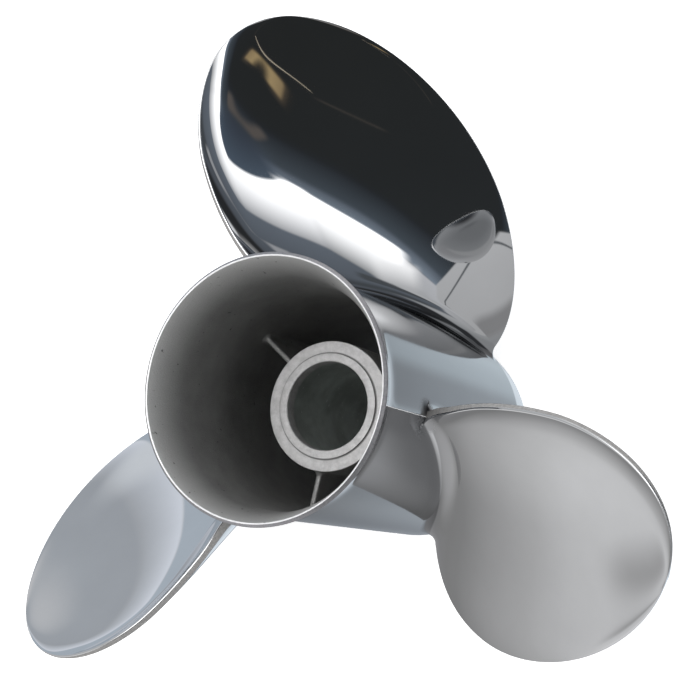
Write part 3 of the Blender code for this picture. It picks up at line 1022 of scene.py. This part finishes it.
    def floor(self):
        """Lit white floor, left out of mirror reflections, and a near-black disc of painted shade inside
        the barrel.
        """
        half = 3.0
        x, y = np.meshgrid((-half, half), (-half, half))
        grid = np.stack((x, y, 0.0 * x - 0.2 * MM), axis=-1)
        finish = Finish("pale_floor")
        shader = finish.nodes["Principled BSDF"]
        shader.inputs["Emission Color"].default_value = (1.0, 1.0, 1.0, 1.0)
        shader.inputs["Emission Strength"].default_value = self.floor_glow
        white = finish.made(settings("finish").floor, 0.0, 0.6)
        floor = surface_object("studio_floor", grid, wrap_columns=False, materials=(white,))
        floor.visible_glossy = False
        # Painted shade: a near-black disc on the floor inside the barrel keeps the glowing floor from
        # lighting the cast inside.
        turn = np.linspace(0.0, math.tau, 48, endpoint=False)
        radius = np.array((0.0, 0.9))[:, None] * settings("barrel").bore_radius
        disc = np.stack((radius * np.cos(turn), radius * np.sin(turn),
                         0.0 * radius * turn - 0.1 * MM), axis=-1)
        shade_disc_finish = Finish("painted_shade_disc").made((0.02, 0.02, 0.02), 0.0, 0.9)
        pad = surface_object("painted_shade_pad", disc, materials=(shade_disc_finish,))

    def world(self, scene):
        """Soft studio by direction: a grey dome, a large overhead light, and soft cards.

        The trend scales the dome round the horizon, but not on the floor.
        """
        scene.world = bpy.data.worlds.new("studio_world")
        sky = NodeTree(scene.world)
        x, y, z = sky.axes(sky.node("TexCoord", "Generated", {}))
        azimuth = sky.math("DEGREES", sky.math("ARCTAN2", y, x))
        elevation = sky.math("DEGREES", sky.math("ARCSINE", z))
        colour = sky.ramp(elevation, -90.0, 90.0, self.dome)
        round_horizon = [(place, (factor,) * 3) for place, factor in self.trend]
        trend = sky.ramp(azimuth, -180.0, 180.0, round_horizon)
        far = sky.span(elevation, *self.trend_gate)
        colour = sky.mix(far, colour, sky.mix(1.0, colour, trend, "MULTIPLY"))
        for card in self.cards:
            colour = self.with_card(sky, colour, azimuth, elevation, card)
        sky.feed(sky.nodes["Background"].inputs["Color"], colour)

    def with_card(self, sky, under, azimuth, elevation, card):
        """Lay one soft-edged slanted rectangle of light or shade over the colours under it.

        Across is azimuth less lean times elevation; up is elevation less slope times azimuth
        less bend times its square, all from the card's middle. Each edge is a smooth step as
        wide as the softness, and the colour runs from low to high.
        """
        away = sky.math("SUBTRACT", azimuth, card.middle[0])
        away = sky.math("WRAP", away, 180.0, -180.0)
        above = sky.math("SUBTRACT", elevation, card.middle[1])
        across = sky.math("MULTIPLY_ADD", above, -card.lean, away)
        up = sky.math("MULTIPLY_ADD", away, -card.slope, above)
        if card.bend:
            up = sky.math("MULTIPLY_ADD", sky.math("MULTIPLY", away, away), -card.bend, up)
        inside = [sky.span(sky.math("ABSOLUTE", offset), half + soft, half - soft, blend="SMOOTHSTEP")
                  for offset, half, soft in zip((across, up), card.half_size, card.softness)]
        colour = card.low
        if card.high:
            half_height = card.half_size[1]
            colour = sky.mix(sky.span(up, -half_height, half_height), card.low, card.high)
        return sky.mix(sky.math("MULTIPLY", *inside), under, colour)

    def camera(self, scene):
        """Camera at the photograph's place: tilted about Y, then rolled about its own axis."""
        data = bpy.data.cameras.new("studio_camera")
        data.lens = self.focal_length
        data.sensor_width = self.sensor_width
        data.shift_x, data.shift_y = self.shift
        data.clip_start = 0.01
        camera = bpy.data.objects.new("studio_camera", data)
        turn = Matrix.Rotation(self.camera_tilt, 4, "Y") @ Matrix.Rotation(self.camera_roll, 4, "Z")
        camera.matrix_world = Matrix.Translation(self.camera_place) @ turn
        scene.collection.objects.link(camera)
        scene.camera = camera


class PROPELLER_PT_panel(bpy.types.Panel):
    """Sidebar panel with the sizes, colours and build buttons"""
    bl_label = "Boat Propeller"
    bl_idname = "PROPELLER_PT_panel"
    bl_space_type = "VIEW_3D"
    bl_region_type = "UI"
    bl_category = "Propeller"

    def draw(self, context):
        layout = self.layout
        for name, _ in GROUPS:
            box = layout.box()
            group = settings(name)
            for field in group.__annotations__:
                box.prop(group, field)
        for operator in BUILDERS:
            layout.operator(operator.bl_idname)


GROUPS = (("barrel", BarrelSizes), ("hub", HubSizes), ("rib", RibSizes),
          ("blade", BladeSizes), ("finish", FinishColours))
BUILDERS = (PROPELLER_OT_barrel, PROPELLER_OT_hub, PROPELLER_OT_ribs,
            PROPELLER_OT_blades, PROPELLER_OT_stage)


def register():
    for name, group in GROUPS:
        bpy.utils.register_class(group)
        setattr(bpy.types.Scene, "propeller_" + name, bpy.props.PointerProperty(type=group))
    for operator in BUILDERS:
        bpy.utils.register_class(operator)
    bpy.utils.register_class(PROPELLER_PT_panel)


def unregister():
    bpy.utils.unregister_class(PROPELLER_PT_panel)
    for operator in reversed(BUILDERS):
        bpy.utils.unregister_class(operator)
    for name, group in reversed(GROUPS):
        delattr(bpy.types.Scene, "propeller_" + name)
        bpy.utils.unregister_class(group)


def main():
    register()
    bpy.ops.propeller.barrel()
    bpy.ops.propeller.hub()
    bpy.ops.propeller.ribs()
    bpy.ops.propeller.blades()
    bpy.ops.propeller.stage()


if __name__ == "__main__":
    main()
